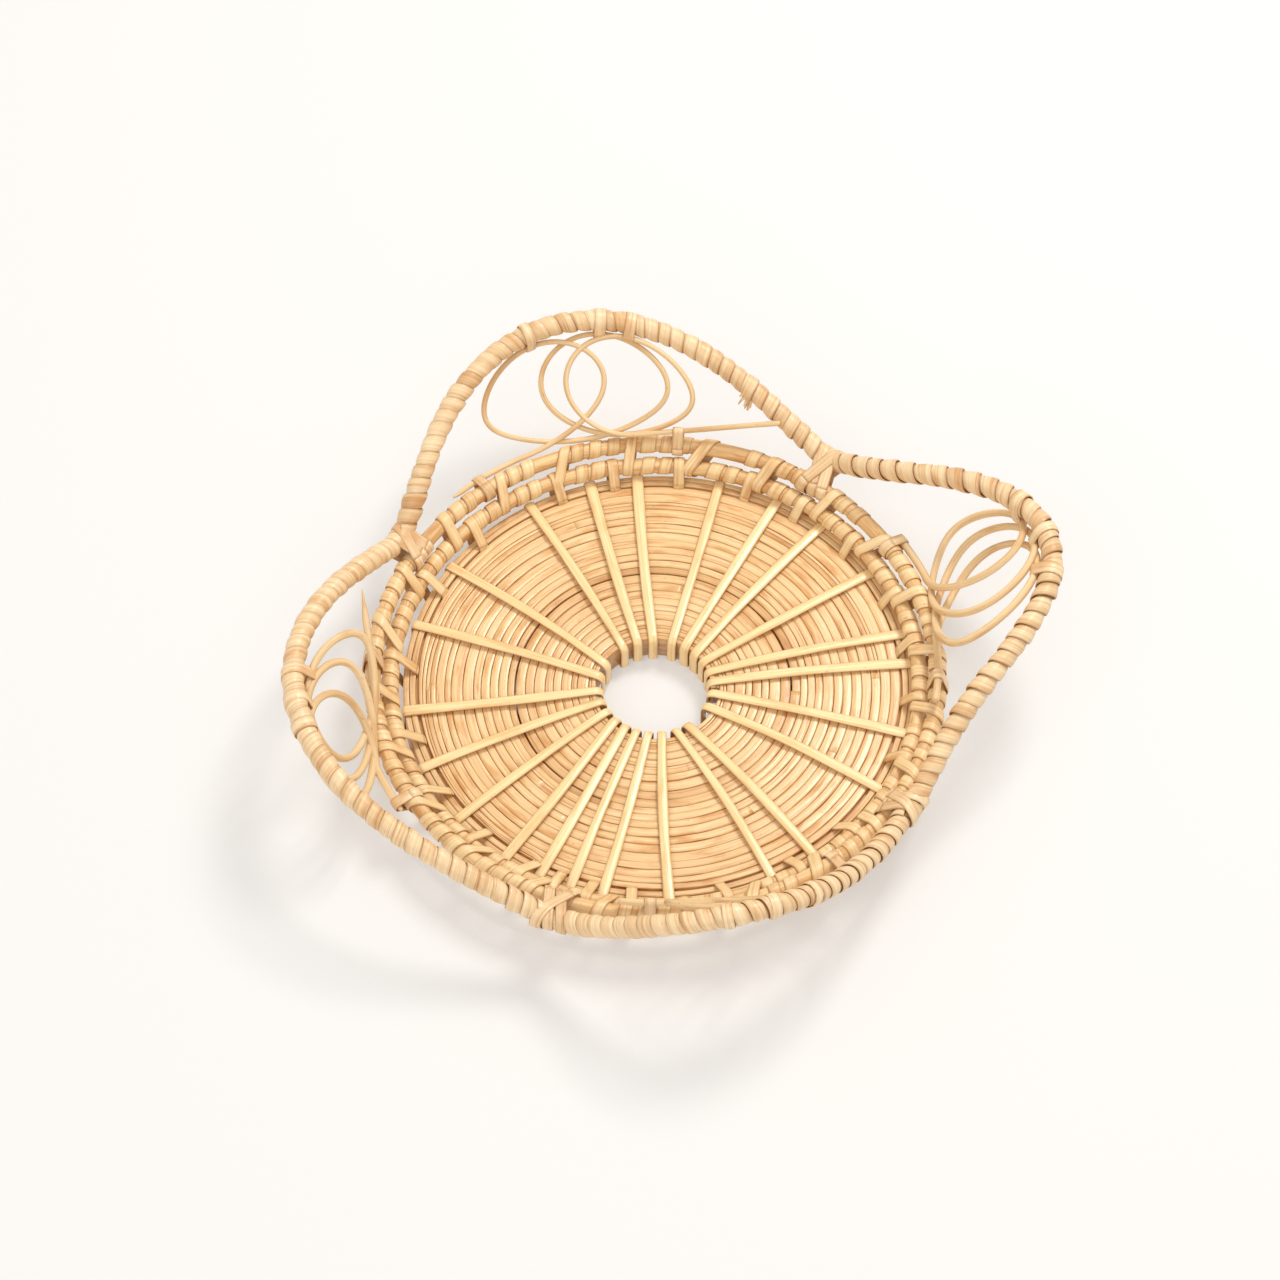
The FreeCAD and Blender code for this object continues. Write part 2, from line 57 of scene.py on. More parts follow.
FLOOR_OF_BASE = 0.55
TOP_OF_BASE = 8.05
TOP_SLACK = 0.15  # the coil's strands stay this far below the top of the base
HOLE_RADIUS = 13.9
COIL_RADIUS = 60.1
COIL_CLOSER = 0.65  # how far the coil's edge moves out to the hoops on its tight side
COIL_TIGHT_SIDE = 1.4  # direction of that side, in radians
HOOP_RADIUS = 60.9
HOOP_THICKNESS = 1.55
HOOP_GAP = 0.05
HOOP_SHIFT = np.array([0.95, 1.1])  # the hoops' centre, from the axis of the coil
EDGE_RADIUS = 64.1
CANE_WIDTH = 2.8
CANE_THICKNESS = 0.5
HOLE_SLACK = 0.5  # gap between the side of the hole and the binding canes in it
EDGE_SLACK = 0.15  # gap between the outer hoop and the binding canes over it

# radius and height of the middle of each ring
INNER_RING = (66.2, 10.75)
OUTER_RING = (70.3, 14.4)
CORE_RADIUS = 1.95
RING_OVER_TURNS = 2.45  # radius of a ring with the turns of cane on it
CANE_REST = 0.05  # gap between a band and what it is pulled round

RIM_ROD_RADIUS = 2.0
RIM_OVER_WRAP = 2.65  # radius of the rim with its binding
RIM_STEP = 0.35
ROD_TRIM = 1.7  # a rod stops this far short of the middle of a knot
WRAP_TRIM = 2.0  # and its binding this far
KNOT_HEIGHT = 17.5

REED_LOOPS = 3
REED_STEP = 0.9
REED_CLEARANCE = 0.12
REED_FOOT_LEAN = 60.0  # where a reed lies on the outer ring, in degrees above its side
TIED_AT = 12.0  # distance past the loops where a reed is tied to the outer ring

# angle in degrees from +X towards +Y, and radius
KNOTS = {
    "back_left": (149.6, 74.8),
    "back_right": (54.6, 77.2),
    "front_right": (-34.3, 74.8),
    "front_left": (-109.1, 77.2),
}

# first knot, second knot, tip radius, tip height, power in plan, power in height, lean
LOBES = {
    "back": ("back_left", "back_right", 94.0, 38.3, 1.9, 1.05, 0.92),
    "right": ("back_right", "front_right", 100.0, 39.0, 3.8, 1.2, 0.90),
    "front": ("front_right", "front_left", 87.0, 39.0, 1.6, 1.8, 1.2),
    "left": ("front_left", "back_left", 90.6, 38.0, 1.75, 1.07, 1.02),
}

# middle angle, half width, widening, advance, bunching, swing, radius of the reed
SCROLLS = {
    "back": (99.0, 14.1, -0.5, 9.9, 4.2, 0.15, 0.72),
    "right": (14.3, 11.6, -2.0, 7.2, 0.0, 0.5, 0.98),
    "front": (-72.0, 12.0, 0.0, 8.0, 0.0, 0.15, 0.85),
    "left": (-164.4, 12.8, -1.55, 6.2, 0.0, 0.4, 1.0),
}

# the first end of each reed: how far it runs past the loops, and how far it climbs
FIRST_ENDS = {
    "back": (37.0, 8.5),
    "right": (20.0, 0.0),
    "front": (20.0, 0.0),
    "left": (27.0, 8.0),
}
LAST_ENDS = {"back": 20.0, "right": 13.5, "front": 14.0, "left": 13.5}
POINTED_REED = "left"

# the strips of the coil, from the hole outwards: thickness, height below full, sixths of a turn
COIL_STRIPS = [
    (1.99, 0.2, 37),
    (2.26, 0.5, 25),
    (1.92, 0.0, 20),
    (2.44, 0.4, 15),
    (2.06, 0.1, 14),
    (2.15, 0.3, 7),
]
SEXTANTS = 6.0  # sixths in one turn
STRIP_GAP = 0.12
COIL_UNEVEN = 0.42  # how far a turn of the coil may wander from an even spiral
COIL_GAP_RADIUS = 35.0  # here two turns of the coil stand a little apart
COIL_GAP = 0.32
STRAND_WIDEST = 3.0  # a wider strand is split in two
STATIONS_PER_TURN = 170

# The right half of a coil strip's outline, upwards: share of the half width, depth below
# the top, and how much painted shade the groove beside it gets. Its first point is down on
# the flat wall.
WALL_DEPTH = 2.6
STRIP_SHOULDER = [
    (1.0, WALL_DEPTH, 1.0),
    (1.0, 0.36, 0.9),
    (0.965, 0.15, 0.35),
    (0.86, 0.06, 0.03),
    (0.5, 0.02, 0.0),
]

# angle where each binding cane leaves the hole, angle where it meets the edge
CANE_ANGLES = [
    (169, 163), (153, 145), (125, 120), (109, 105), (92, 94), (72, 75),
    (57, 61), (43.5, 49), (30.5, 32), (17.5, 14), (4.5, 6), (-8.5, -13),
    (-25, -29), (-56, -52), (-69.5, -63), (-83, -87), (-96, -102), (-109, -109.5),
    (-122, -117), (-135, -126), (-148, -141), (-161, -157), (-174, -173),
]

# The two rings are held together by evenly spaced bridges, with turns of cane between them.
BRIDGES = 24
BRIDGE_STEP = 360.0 / BRIDGES
BRIDGE_PHASE = 5.0
TURNS_PER_BRIDGE = 4
TURN_STEP = BRIDGE_STEP / TURNS_PER_BRIDGE
TURN_CLEAR = 2.7  # degrees kept between a turn on the inner ring and a lashing
TURNS_MISSING = 0.12  # share of the outer ring's turns that are left out

# cane width and pitch of the close binding at the start and at the end of each lobe
WRAP_SIZES = {
    "back": (4.4, 3.9, 4.1, 3.6),
    "right": (5.4, 4.9, 4.2, 3.7),
    "front": (4.3, 3.8, 4.3, 3.8),
    "left": (4.4, 3.9, 4.5, 4.0),
}
WRAP_STATIONS = 26  # stations in one turn
FRAYED_LOBE = "back"
FRAYED_AT = 0.835  # share of that lobe where the end of a cane is frayed

# the bands of a knot: offset along the rim, slant, and how far it stands proud
KNOT_BANDS = [(-1.5, -0.35, 0.0), (1.6, -0.3, 0.0), (0.1, 0.45, 0.3)]

CAMERA_FROM_AXIS = np.array([-3.8, -662.7, 1009.0])
CAMERA_DOWN = 55.947  # degrees below level
LIGHTS_AIM = Vector((0.0, 0.0, 10.0)) * MM


# ---------------------------------------------------------------- small maths

def unit(vectors):
    return vectors / np.linalg.norm(vectors, axis=-1, keepdims=True)


def polar(radius, degrees, height=0.0):
    angle = np.radians(degrees)
    radius, angle, height = np.broadcast_arrays(radius, angle, height)
    return np.stack([radius * np.cos(angle), radius * np.sin(angle), height], axis=-1)


def wander(where, seed, reach):
    """A smooth, repeatable wobble between about -1 and 1; reach is its length scale.

    It is a sum of waves with different lengths, weights and phases.
    """
    rng = np.random.default_rng(seed)
    total = np.zeros_like(np.asarray(where, float))
    for order in range(4):
        rate = (0.7 + 0.9 * order + rng.random()) / reach
        weight = math.sin(1.0 + order) ** 2
        phase = rng.random() * 6.3
        total += weight * np.sin(where * rate + phase)
    highest = 1.9
    return total / highest


def transported_normals(path, first):
    """Normals that follow a path without twisting, starting from a chosen direction."""
    tangents = unit(np.gradient(path, axis=0))
    normals = np.zeros_like(path)
    normal = np.asarray(first, float)
    for index, tangent in enumerate(tangents):
        normal = unit(normal - tangent * normal.dot(tangent))
        normals[index] = normal
    return tangents, normals


def resample(path, step):
    """The same path with even steps, and the distance along it."""
    lengths = np.concatenate([[0.0], np.cumsum(np.linalg.norm(np.diff(path, axis=0), axis=1))])
    count = max(4, int(lengths[-1] / step))
    wanted = np.linspace(0.0, lengths[-1], count)
    return np.stack([np.interp(wanted, lengths, path[:, k]) for k in range(3)], axis=1), wanted


# ---------------------------------------------------------------- sections of a strand

def flat_section(width, thickness, crown=0.35):
    """A flat cane: level underneath, and crowned on top by a share of its thickness."""
    half = width / 2.0
    underside = 0.95 * half
    shoulder = thickness * (1.0 - crown)
    points = [(-underside, 0.0), (underside, 0.0), (half, 0.5 * shoulder)]
    for share in np.linspace(0.92, -0.92, 7):
        points.append((share * half, thickness * (1.0 - crown * abs(share) ** 2.4)))
    points.append((-half, 0.5 * shoulder))
    return np.array(points)


def round_section(radius, count):
    angles = np.linspace(0.0, 2.0 * math.pi, count, endpoint=False)
    return np.stack([radius * np.cos(angles), radius * np.sin(angles)], axis=1)


class Weave:
    """Gathers strands of cane, then makes one mesh of them.

    Two attributes go with the mesh. "cane" is a point's place within its own strand, in
    millimetres: along, across, up. "strand" is the strand's tone, how near its long edge
    the point is, and how deep it lies in a groove, each from 0 to 1.
    """

    def __init__(self):
        self.points = []
        self.faces = []
        self.cane = []
        self.strand_data = []
        self.total = 0

    def strand(self, path, outward, section, tone, start=0.0, groove=None, scale=None):
        """path and outward are (n, 3); section is (m, 2) or (n, m, 2), counter-clockwise."""
        count = len(path)
        section = np.asarray(section, float)
        if section.ndim == 2:
            section = np.broadcast_to(section, (count,) + section.shape)
        if scale is not None:
            section = section * np.asarray(scale)[:, None, None]
        around = section.shape[1]
        tangent = unit(np.gradient(path, axis=0))
        side = unit(np.cross(outward, tangent))
        up = np.cross(tangent, side)
        across = section[:, :, 0]
        rise = section[:, :, 1]
        points = path[:, None] + side[:, None] * across[..., None] + up[:, None] * rise[..., None]
        steps = np.linalg.norm(np.diff(path, axis=0), axis=1)
        along = start + np.concatenate([[0.0], np.cumsum(steps)])
        along = np.broadcast_to(along[:, None], across.shape)
        tone = np.broadcast_to(np.asarray(tone, float).reshape(-1, 1), across.shape)
        half = np.maximum(np.abs(across).max(axis=1, keepdims=True), 1e-6)
        edge = np.abs(across) / half
        deep = np.zeros_like(across) if groove is None else np.broadcast_to(groove, across.shape)
        self.points.append(points.reshape(-1, 3))
        self.cane.append(np.stack([along, across, rise], axis=-1).reshape(-1, 3))
        self.strand_data.append(np.stack([tone, edge, deep], axis=-1).reshape(-1, 3))
        row = np.arange(around)
        following = (row + 1) % around
        for index in range(count - 1):
            here = self.total + index * around
            there = here + around
            corners = [here + row, here + following, there + following, there + row]
            self.faces.extend(np.stack(corners, axis=1).tolist())
        self.faces.append((self.total + row[::-1]).tolist())
        self.faces.append((self.total + (count - 1) * around + row).tolist())
        self.total += count * around

    def build(self, name, material, replaced):
        points = np.concatenate(self.points) * MM + AXIS
        mesh = bpy.data.meshes.new(name)
        mesh.from_pydata(points.tolist(), [], self.faces)
        for title, rows in (("cane", self.cane), ("strand", self.strand_data)):
            attribute = mesh.attributes.new(title, "FLOAT_VECTOR", "POINT")
            attribute.data.foreach_set("vector", np.concatenate(rows).astype(np.float32).ravel())
        mesh.polygons.foreach_set("use_smooth", [True] * len(mesh.polygons))
        mesh.update()
        piece = bpy.data.objects.new(name, mesh)
        bpy.context.scene.collection.objects.link(piece)
        piece.data.materials.append(material)
        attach(piece, "root")
        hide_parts(*replaced)


# ---------------------------------------------------------------- materials

class Shader:
    """A new material's nodes, with short ways to add the ones that rattan needs."""

    def __init__(self, name):
        self.material = bpy.data.materials.new(name)
        self.material.use_nodes = True
        self.nodes = self.material.node_tree.nodes
        self.links = self.material.node_tree.links
        self.nodes.clear()

    def add(self, kind, inputs, **settings):
        """Adds a node. Each input is a constant or another node's output."""
        node = self.nodes.new(kind)
        for key, value in settings.items():
            setattr(node, key, value)
        for place, value in inputs.items():
            socket = node.inputs[place]
            if isinstance(value, bpy.types.NodeSocket):
                self.links.new(value, socket)
            elif socket.type == "RGBA":
                socket.default_value = (*value, 1.0)
            else:
                socket.default_value = value
        return node

    def maths(self, operation, first, second):
        return self.add("ShaderNodeMath", {0: first, 1: second}, operation=operation).outputs[0]

    def darken(self, amount, colour, tint):
        """The colour multiplied by a tint, as far as amount says."""
        return self.add("ShaderNodeMix", {0: amount, 6: colour, 7: tint},
                        data_type="RGBA", blend_type="MULTIPLY").outputs[2]

    def remap(self, value, low, high, to_low=0.0, to_high=1.0):
        inputs = {"Value": value, "From Min": low, "From Max": high, "To Min": to_low, "To Max": to_high}
        return self.add("ShaderNodeMapRange", inputs).outputs[0]

    def ramp(self, factor, stops):
        """A colour ramp; its stops are (position, colour), from low to high."""
        node = self.add("ShaderNodeValToRGB", {0: factor})
        node.color_ramp.interpolation = "EASE"
        elements = node.color_ramp.elements
        elements[0].position, elements[1].position = stops[0][0], stops[-1][0]
        elements[0].color, elements[1].color = (*stops[0][1], 1.0), (*stops[-1][1], 1.0)
        for position, colour in stops[1:-1]:
            elements.new(position).color = (*colour, 1.0)
        return node.outputs[0]

    def noise(self, where, stretch, detail, roughness):
        """Noise that is stretched by a factor in each direction of where."""
        scaled = self.add("ShaderNodeVectorMath", {0: where, 1: stretch}, operation="MULTIPLY")
        inputs = {"Vector": scaled.outputs[0], "Scale": 1.0, "Detail": detail, "Roughness": roughness}
        return self.add("ShaderNodeTexNoise", inputs).outputs["Fac"]


STAIN = (0.77, 0.55, 0.34)
SPECK = (0.42, 0.24, 0.12)
EDGE_STAIN_AND_SHADE = (0.50, 0.31, 0.17)
GROOVE_PAINTED_SHADE = (0.42, 0.20, 0.08)

# what a strand's tone does to its colour, from the darkest strand to the palest
TONES = [
    (0.0, (0.74, 0.60, 0.46)),
    (0.35, (0.90, 0.83, 0.76)),
    (0.7, (1.0, 0.98, 0.97)),
    (1.0, (1.0, 1.0, 1.0)),
]


def rattan(name, pale, middle, dark, roughness, fibres, relief, patches, edge_stain_and_shade):
    """Split rattan: long fibre lines, tone that differs by strand, stains and darker edges.

    pale, middle and dark are linear colours, and roughness is that of the bare skin.
    fibres is how fine the lines are; relief, patches and the edge darkening are strengths.
    The darker edges are partly the brown edge of the cane and partly painted shade where
    neighbouring strands and turns meet, and the groove value adds painted shade.
    """
    shader = Shader(name)
    where = shader.add("ShaderNodeAttribute", {}, attribute_name="cane").outputs["Vector"]
    strand = shader.add("ShaderNodeAttribute", {}, attribute_name="strand").outputs["Vector"]
    tone, edge, groove = shader.add("ShaderNodeSeparateXYZ", {0: strand}).outputs

    fine = shader.noise(where, (0.05, 3.4 * fibres, 3.4 * fibres), 3.0, 0.6)
    broad = shader.noise(where, (0.035, 0.9, 0.9), 2.0, 0.55)
    blotch = shader.noise(where, (0.07, 0.3, 0.3), 3.0, 0.6)
    pores = shader.noise(where, (0.9, 7.0, 7.0), 2.0, 0.5)
    specks = shader.noise(where, (0.55, 1.6, 1.6), 2.0, 0.4)

    grain = shader.maths("ADD", shader.maths("MULTIPLY", fine, 0.55), shader.maths("MULTIPLY", broad, 0.45))
    colour = shader.ramp(grain, [(0.30, dark), (0.46, middle), (0.60, pale), (0.80, pale)])
    colour = shader.darken(1.0, colour, shader.ramp(tone, TONES))
    stained = shader.maths("MULTIPLY", shader.remap(blotch, 0.52, 0.66), patches)
    colour = shader.darken(stained, colour, STAIN)
    speckled = shader.maths("MULTIPLY", shader.remap(specks, 0.70, 0.76), 0.35)
    colour = shader.darken(speckled, colour, SPECK)
    # edge darkening: partly the brown edge of the cane, partly painted shade where neighbouring strands and
    # turns meet
    near_edge = shader.maths("MULTIPLY", shader.maths("POWER", edge, 7.0), edge_stain_and_shade)
    colour = shader.darken(near_edge, colour, EDGE_STAIN_AND_SHADE)
    # painted shade in the grooves between strands, strongest deep down on a strand's side
    colour = shader.darken(groove, colour, GROOVE_PAINTED_SHADE)

    height = shader.maths("ADD", fine, shader.maths("MULTIPLY", pores, 0.25))
    bump = shader.add("ShaderNodeBump", {"Strength": relief, "Distance": 0.00022, "Height": height})
    surface = shader.add("ShaderNodeBsdfPrincipled", {
        "Base Color": colour,
        "Roughness": shader.remap(broad, 0.3, 0.7, roughness + 0.12, roughness - 0.04),
        "IOR": 1.5,
        "Normal": bump.outputs[0],
    })
    shader.add("ShaderNodeOutputMaterial", {0: surface.outputs[0]})
    return shader.material


def srgb(red, green, blue):
    def linear(value):
        value /= 255.0
        return value / 12.92 if value <= 0.04045 else ((value + 0.055) / 1.055) ** 2.4
    return (linear(red), linear(green), linear(blue))


COIL = rattan("coil_strip", srgb(240, 208, 158), srgb(230, 190, 136), srgb(198, 147, 92),
              roughness=0.2, fibres=0.8, relief=0.25, patches=0.8, edge_stain_and_shade=0.1)
HOOP = rattan("hoop_strip", srgb(238, 206, 154), srgb(226, 186, 132), srgb(196, 144, 92),
              roughness=0.4, fibres=0.9, relief=0.5, patches=0.8, edge_stain_and_shade=0.3)
BINDING = rattan("binding_cane", srgb(247, 222, 170), srgb(240, 207, 150), srgb(220, 178, 118),
                 roughness=0.18, fibres=1.1, relief=0.25, patches=0.4, edge_stain_and_shade=0.6)
CORE = rattan("ring_core", srgb(243, 210, 156), srgb(232, 192, 134), srgb(198, 146, 92),
              roughness=0.4, fibres=1.4, relief=0.7, patches=0.8, edge_stain_and_shade=0.0)
LASHING = rattan("lashing_cane", srgb(244, 217, 168), srgb(234, 200, 146), srgb(208, 162, 106),
                 roughness=0.32, fibres=1.0, relief=0.4, patches=0.7, edge_stain_and_shade=0.75)
RIM = rattan("rim_cane", srgb(242, 216, 174), srgb(231, 198, 152), srgb(200, 156, 108),
             roughness=0.34, fibres=0.9, relief=0.4, patches=0.75, edge_stain_and_shade=0.65)
ROD = rattan("rim_rod", srgb(222, 184, 134), srgb(204, 158, 106), srgb(160, 108, 64),
             roughness=0.5, fibres=0.9, relief=0.5, patches=0.6, edge_stain_and_shade=0.0)
REED = rattan("scroll_reed", srgb(236, 208, 162), srgb(226, 193, 143), srgb(202, 160, 108),
              roughness=0.48, fibres=1.3, relief=0.4, patches=0.5, edge_stain_and_shade=0.0)


# ---------------------------------------------------------------- base

def edge_reach(radius, degrees):
    """Distance from the axis, in one direction, to a circle about the hoops' centre."""
    angle = np.radians(degrees)
    along = HOOP_SHIFT[0] * np.cos(angle) + HOOP_SHIFT[1] * np.sin(angle)
    return along + np.sqrt(radius ** 2 - HOOP_SHIFT.dot(HOOP_SHIFT) + along ** 2)


def coil_edges():
    """Radius of the spiral's inner edge at each sixth of a turn, from the hole outwards."""
    rng = np.random.default_rng(11)
    reach = HOLE_RADIUS
    radii = [reach]
    for thickness, _, sextants in COIL_STRIPS:
        for _ in range(sextants):
            reach += (thickness + STRIP_GAP) / SEXTANTS
            radii.append(reach)
    radii = np.array(radii)
    turns = np.arange(len(radii)) / SEXTANTS
    half_turns = np.arange(60) * 0.5
    offsets = rng.uniform(-COIL_UNEVEN, COIL_UNEVEN, len(half_turns))
    uneven = np.interp(turns, half_turns, offsets)
    uneven *= np.clip(turns, 0.0, 1.0) * np.clip(turns[-1] - turns, 0.0, 1.0)
    return turns, radii + uneven


def strip_outline():
    """The whole outline of a strip, counter-clockwise from its lower left corner."""
    left = [(-share, drop, shade) for share, drop, shade in reversed(STRIP_SHOULDER)]
    bottom = [(-1.0, None, 1.0), (1.0, None, 1.0)]
    return bottom + STRIP_SHOULDER + [(0.0, 0.0, 0.0)] + left


def base_section(widths, tops, bevel):
    """A strip on edge for each station: full width low down, drawn in and rounded on top."""
    half = widths / 2.0
    rows = []
    for share, drop, _ in strip_outline():
        inset = 0.0 if drop in (None, WALL_DEPTH) else bevel
        across = share * (half - inset)
        rise = np.zeros_like(half) if drop is None else tops - drop
        rows.append(np.stack([across, rise], axis=-1))
    return np.stack(rows, axis=1)


def groove_shade(middle, arc, seed):
    """How much painted shade the grooves beside a strand get: it comes and goes, and is faint
    where the strand's side shows, at the hole and at the edge."""
    line = np.clip(0.4 + 0.8 * wander(arc, seed, 13.0), 0.05, 1.0)
    side_shows = (middle < HOLE_RADIUS + 2.0) | (middle > HOOP_RADIUS - 1.0)
    faint = 0.12
    return np.where(side_shows, faint, line)


def base_strand(weave, turns, inside, outside, drop, tone, seed):
    """One strand of the coil between two radii that are given at each station."""
    degrees = turns * 360.0
    middle = (inside + outside) / 2.0
    path = polar(middle, degrees, FLOOR_OF_BASE)
    arc = np.radians(degrees) * middle
    tops = TOP_OF_BASE - FLOOR_OF_BASE - drop - TOP_SLACK - 0.12 * wander(arc, seed, 22.0)
    tones = np.clip(tone + 0.14 * wander(arc, seed + 50, 30.0), 0.0, 1.0)
    bevel = 0.01 + 0.06 * wander(arc, seed + 90, 9.0) ** 2
    section = base_section(outside - inside, tops, bevel)
    up = np.broadcast_to(UP, path.shape)
    # how much painted shade each point of the outline gets from the groove beside it
    shades = np.array([shade for _, _, shade in strip_outline()])
    groove = shades * groove_shade(middle, arc, seed + 30)[:, None]
    weave.strand(path, up, section, tones, start=seed * 53.0, groove=groove)


def coil_side(turns):
    """Radius of the coil's inner side; past its last turn, the edge beside the hoops."""
    at, radii = coil_edges()
    tight = (0.35 + np.cos(2.0 * math.pi * turns - COIL_TIGHT_SIDE)).clip(0.0, 1.0)
    closer = COIL_CLOSER * tight
    edge = edge_reach(COIL_RADIUS + closer, turns * 360.0)
    return np.where(turns <= at[-1], np.interp(turns, at, radii), edge)


def lay_strands(weave, number, begin, end, drop, rng):
    """Fills one strip of the coil, between two counts of turns, with strands end to end."""
    overlap = 0.003
    shortest = 0.3
    narrowest = 0.35
    cursor = begin
    while cursor < end - 0.05:
        stop = min(end, cursor + rng.uniform(0.7, 1.5))
        if end - stop < shortest:
            stop = end
        stations = max(12, int((stop - cursor) * STATIONS_PER_TURN))
        turns = np.linspace(cursor - overlap, stop + overlap, stations)
        inside = coil_side(turns)
        outside = np.maximum(coil_side(turns + 1.0) - 0.02, inside + narrowest)
        seed = number * 100 + int(cursor * 10)
        pale_share = 0.55 if number < 3 else 0.78
        tone = rng.uniform(0.7, 1.0) if rng.random() < pale_share else rng.uniform(0.15, 0.7)
        step = drop * 0.4 + rng.uniform(0.0, 0.25)
        if abs(float(inside.mean()) - COIL_GAP_RADIUS) < 1.2:
            inside = inside + COIL_GAP
        wide = float((outside - inside).max()) > STRAND_WIDEST
        if wide or rng.random() < 0.2:
            share = 0.5 if wide else rng.uniform(0.58, 0.7)
            share = share + 0.04 * wander(turns * 6.28, seed, 1.5)
            between = inside + (outside - inside) * share
            base_strand(weave, turns, inside, between, step, tone, seed)
            base_strand(weave, turns, between, outside, step + rng.uniform(0.05, 0.25),
                        rng.uniform(0.4, 0.9), seed + 7)
        else:
            base_strand(weave, turns, inside, outside, step, tone, seed)
        cursor = stop


def make_base():
    """Each turn of the coil is a few strands laid end to end, and some are split in two."""
    rng = np.random.default_rng(5)
    begin = 0.0
    for number, (_, drop, sextants) in enumerate(COIL_STRIPS, start=1):
        weave = Weave()
        end = begin + sextants / SEXTANTS
        lay_strands(weave, number, begin, end, drop, rng)
        weave.build("coil_strands_%d" % number, COIL, ["base_coil_%d" % number])
        begin = end


def make_hoops():
    """Two strips on edge round the coil, and a darker one that fills the gap inside them."""
    for order, name in enumerate(("inner", "outer")):
        weave = Weave()
        radius = HOOP_RADIUS + order * (HOOP_THICKNESS + HOOP_GAP)
        turns = np.linspace(0.0, 1.0, 300) + 0.31 * (order + 1)
        inside = edge_reach(radius, turns * 360.0)
        base_strand(weave, turns, inside, inside + HOOP_THICKNESS, 0.15 * order, 0.6, 900 + order)
        if name == "inner":
            beside = edge_reach(COIL_RADIUS - 0.3, turns * 360.0)
            # painted shade: this strand down in the gap between the coil and the hoops gets the darkest
            # tone to stand for the shade in that gap
            base_strand(weave, turns, beside, inside + 0.2, drop=1.3, tone=0.0, seed=910)
        weave.build("hoop_" + name, HOOP, ["edge_hoop_" + name])


# ---------------------------------------------------------------- bands of cane

def rounded_run(corners, step):
    """A closed path through rounded corners: (a, b, radius, start angle, end angle)."""
    points = []
    for a, b, radius, start, end in corners:
        angles = np.radians(np.linspace(start, end, 9))
        points.append(np.stack([a + radius * np.cos(angles), b + radius * np.sin(angles)], axis=1))
    path = []
    for here, following in zip(points, points[1:] + points[:1]):
        path.append(here)
        span = np.linalg.norm(following[0] - here[-1])
        count = int(span / step)
        if count > 1:
            shares = np.linspace(0.0, 1.0, count + 1)[1:-1, None]
            path.append(here[-1] * (1 - shares) + following[0] * shares)
    path.append(points[0][:1])
    return np.concatenate(path)


def belt_run(circles):
    """The path of a band pulled round circles (a, b, radius), counter-clockwise."""
    count = len(circles)
    tangents = []
    for here in range(count):
        a, b, radius = circles[here]
        c, d, following = circles[(here + 1) % count]
        length = math.hypot(c - a, d - b)
        swing = math.acos((radius - following) / length)
        tangents.append(math.degrees(math.atan2(d - b, c - a) - swing))
    corners = []
    for here in range(count):
        start, end = tangents[here - 1], tangents[here]
        while end <= start:
            end += 360.0
        corners.append((*circles[here], start, end))
    return rounded_run(corners, 0.8)


def outward_of(run):
    """Outward directions of a closed counter-clockwise path in its own plane."""
    body = run[:-1]
    tangent = unit(np.roll(body, -1, axis=0) - np.roll(body, 1, axis=0))
    normal = np.stack([tangent[:, 1], -tangent[:, 0]], axis=1)
    return np.concatenate([normal, normal[:1]])


def add_band(weave, run, origin, across, up, section, tone, slant=0.0, bow=0.0, start=0.0):
    """Lays a closed band; slant and bow move it along the normal of its plane."""
    normal = np.cross(across, up)
    outward = outward_of(run)
    middle = (run[:, 0].min() + run[:, 0].max()) / 2.0
    aside = slant * (run[:, 0] - middle) + bow
    path = origin + run[:, :1] * across + run[:, 1:] * up + aside[:, None] * normal
    turned = outward[:, :1] * across + outward[:, 1:] * up
    weave.strand(path, turned, section, tone, start=start)


def binding_run(length, arch):
    """The inner face of a cane over the base, down the hole, under the base and up the edge.

    It is measured from the cane's outer face in the hole, and from the floor. The second
    result is each point's share of the way from the hole to the edge.
    """
    top = TOP_OF_BASE + CANE_REST
    at_hole = 1.7
    tight = 0.6
    low = near = CANE_THICKNESS
    far = length - CANE_THICKNESS
    corners = [
        (far - tight, low + tight, tight, -90.0, 0.0),
        (far - tight, top - tight, tight, 0.0, 90.0),
        (near + at_hole, top - at_hole, at_hole, 90.0, 180.0),
        (near + tight, low + tight, tight, 180.0, 270.0),
    ]
    run = rounded_run(corners, 1.0)
    share = np.clip((run[:, 0] - 2.0) / (length - 4.0), 0.0, 1.0)
    upper = run[:, 1] > top - 0.3
    run[:, 1] += np.where(upper, arch * np.sin(math.pi * share) ** 0.8, 0.0)
    return run, share


def make_binding_canes():
    rng = np.random.default_rng(21)
    for number, (hole_angle, edge_angle) in enumerate(CANE_ANGLES, start=1):
        weave = Weave()
        start = polar(HOLE_RADIUS - HOLE_SLACK - CANE_THICKNESS, hole_angle)
        edge = edge_reach(EDGE_RADIUS, edge_angle)
        stop = polar(edge + EDGE_SLACK + CANE_THICKNESS, edge_angle)
        across = unit(stop - start)
        run, share = binding_run(float(np.linalg.norm(stop - start)), arch=rng.uniform(0.3, 0.7))
        bow = rng.uniform(-0.7, 0.7) * np.sin(math.pi * share)
        narrow = 0.84 + 0.16 * share + 0.04 * np.sin(run[:, 0] * 0.21 + number)
        section = flat_section(rng.uniform(2.5, 3.0), CANE_THICKNESS, 0.55)
        section = np.broadcast_to(section, (len(run),) + section.shape).copy()
        section[:, :, 0] *= narrow[:, None]
        add_band(weave, run, start, across, UP, section, rng.uniform(0.6, 1.0),
                 bow=bow, start=number * 90.0)
        name = "binding_cane_%02d" % number
        weave.build("cane_band_%02d" % number, BINDING, [name])


